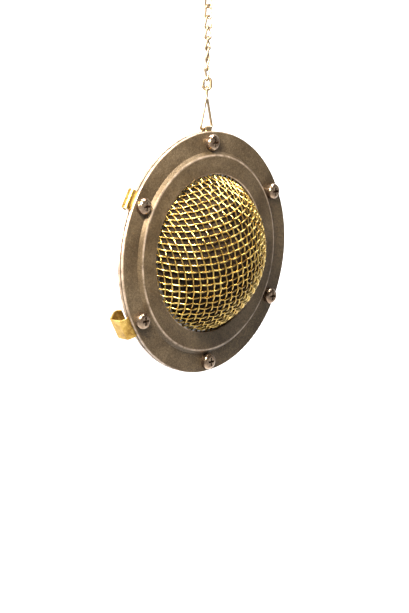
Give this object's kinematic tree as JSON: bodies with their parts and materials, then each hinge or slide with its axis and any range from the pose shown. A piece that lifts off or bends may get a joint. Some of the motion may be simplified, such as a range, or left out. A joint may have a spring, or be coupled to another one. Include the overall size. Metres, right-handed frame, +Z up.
{
  "type": "condenser microphone",
  "caption": "Round hanging condenser microphone: domed woven-wire grille in a screwed bezel, shallow back shell with a pin socket, hung by a wire bail and a curb chain from a ceiling eye.",
  "frame": {"origin": "where the axis of the ceiling eye meets the ceiling, at the top face of its collar", "axes": "+Z up along the hanging axis, the grille faces -Y, +X is to the right seen from the front"},
  "size_m": [0.086, 0.0357, 0.1624],
  "materials": {
    "aged_nickel": "satin",
    "plated_shell": "satin",
    "bare_aluminium": "satin",
    "golden_brass": "satin",
    "brass_cloth": "satin",
    "nickel_brass": "polished",
    "screw_nickel": "polished",
    "zinc_steel": "satin",
    "dark_foam": "matte",
    "red_fibre": "matte",
    "clear_acrylic": "gloss",
    "gold_film": "polished",
    "black_rubber": "matte",
    "board_laminate": "satin",
    "resistor_body": "gloss",
    "film_body": "gloss",
    "can_sleeve": "gloss",
    "transistor_can": "satin",
    "lead_sleeve": "satin",
    "black_plastic": "matte"
  },
  "bodies": {
    "ceiling_eye": {"ceiling_eye": "golden_brass"},
    "jump_ring": {"jump_ring": "golden_brass"},
    "chain_link_01": {"chain_link_01": "golden_brass"},
    "chain_link_02": {"chain_link_02": "golden_brass"},
    "chain_link_03": {"chain_link_03": "golden_brass"},
    "chain_link_04": {"chain_link_04": "golden_brass"},
    "chain_link_05": {"chain_link_05": "golden_brass"},
    "chain_link_06": {"chain_link_06": "golden_brass"},
    "chain_link_07": {"chain_link_07": "golden_brass"},
    "chain_link_08": {"chain_link_08": "golden_brass"},
    "chain_link_09": {"chain_link_09": "golden_brass"},
    "end_link": {"end_link": "golden_brass"},
    "hanger_wire": {"hanger_wire": "golden_brass"},
    "head": {"front_bezel": "aged_nickel", "grille_mesh": "brass_cloth", "foam_liner": "dark_foam", "mesh_clamp_ring": "bare_aluminium", "rim_gasket": "red_fibre", "rim_hooks": "golden_brass", "top_lug": "golden_brass", "back_shell": "plated_shell", "bezel_screws": "screw_nickel", "rim_nuts": "zinc_steel", "capsule_cup": "nickel_brass", "capsule_insulator": "clear_acrylic", "capsule_backplate": "nickel_brass", "backplate_terminal": "nickel_brass", "film_spacer": "clear_acrylic", "diaphragm": "gold_film", "diaphragm_ring": "nickel_brass", "ring_screws": "zinc_steel", "capsule_saddle": "bare_aluminium", "capsule_screws": "zinc_steel", "rubber_grommets": "black_rubber", "upper_posts": "nickel_brass", "lower_posts": "nickel_brass", "grommet_screws": "zinc_steel", "rear_screws": "screw_nickel", "circuit_board": "board_laminate", "transistor": "transistor_can", "resistors": "resistor_body", "film_capacitor": "film_body", "electrolytic_capacitor": "can_sleeve", "capsule_leads": "lead_sleeve", "output_leads": "lead_sleeve", "socket_shell": "nickel_brass", "socket_insert": "black_plastic", "socket_pins": "nickel_brass", "socket_nut": "nickel_brass"}
  },
  "joints": [
    {"name": "ring_swing", "type": "hinge", "parent": "ceiling_eye", "child": "jump_ring", "pos_m": [0, 0, -0.01069], "axis": [1, 0, 0], "range_deg": [-20, 20]},
    {"name": "link_01_swing", "type": "hinge", "parent": "jump_ring", "child": "chain_link_01", "pos_m": [0, 0, -0.01504], "axis": [0.3907, 0.9205, 0], "range_deg": [-20, 20]},
    {"name": "link_02_swing", "type": "hinge", "parent": "chain_link_01", "child": "chain_link_02", "pos_m": [0, 0, -0.01757], "axis": [0.9903, -0.1392, 0], "range_deg": [-15, 15]},
    {"name": "link_03_swing", "type": "hinge", "parent": "chain_link_02", "child": "chain_link_03", "pos_m": [0, 0, -0.02196], "axis": [0.309, -0.9511, 0], "range_deg": [-15, 15]},
    {"name": "link_04_turn", "type": "hinge", "parent": "chain_link_03", "child": "chain_link_04", "pos_m": [0, 0, -0.02471], "axis": [0, 0, 1], "range_deg": [-15, 15]},
    {"name": "link_05_swing", "type": "hinge", "parent": "chain_link_04", "child": "chain_link_05", "pos_m": [0, 0, -0.02828], "axis": [0.7986, 0.6018, 0], "range_deg": [-15, 15]},
    {"name": "link_06_swing", "type": "hinge", "parent": "chain_link_05", "child": "chain_link_06", "pos_m": [0, 0, -0.03268], "axis": [0.891, -0.454, 0], "range_deg": [-15, 15]},
    {"name": "link_07_turn", "type": "hinge", "parent": "chain_link_06", "child": "chain_link_07", "pos_m": [0, 0, -0.03542], "axis": [0, 0, 1], "range_deg": [-15, 15]},
    {"name": "link_08_swing", "type": "hinge", "parent": "chain_link_07", "child": "chain_link_08", "pos_m": [0, 0, -0.03898], "axis": [0.1392, 0.9903, 0], "range_deg": [-15, 15]},
    {"name": "link_09_swing", "type": "hinge", "parent": "chain_link_08", "child": "chain_link_09", "pos_m": [0, 0, -0.04338], "axis": [0.9511, 0.309, 0], "range_deg": [-15, 15]},
    {"name": "end_link_swing", "type": "hinge", "parent": "chain_link_09", "child": "end_link", "pos_m": [0, 0, -0.04695], "axis": [0.8387, 0.5446, 0], "range_deg": [-15, 15]},
    {"name": "hanger_swing", "type": "hinge", "parent": "end_link", "child": "hanger_wire", "pos_m": [0, 0, -0.05], "axis": [-0.6691, 0.7431, 0], "range_deg": [-20, 20]},
    {"name": "head_tilt", "type": "hinge", "parent": "hanger_wire", "child": "head", "pos_m": [0, 0, -0.06376], "axis": [1, 0, 0], "range_deg": [-30, 30]}
  ]
}
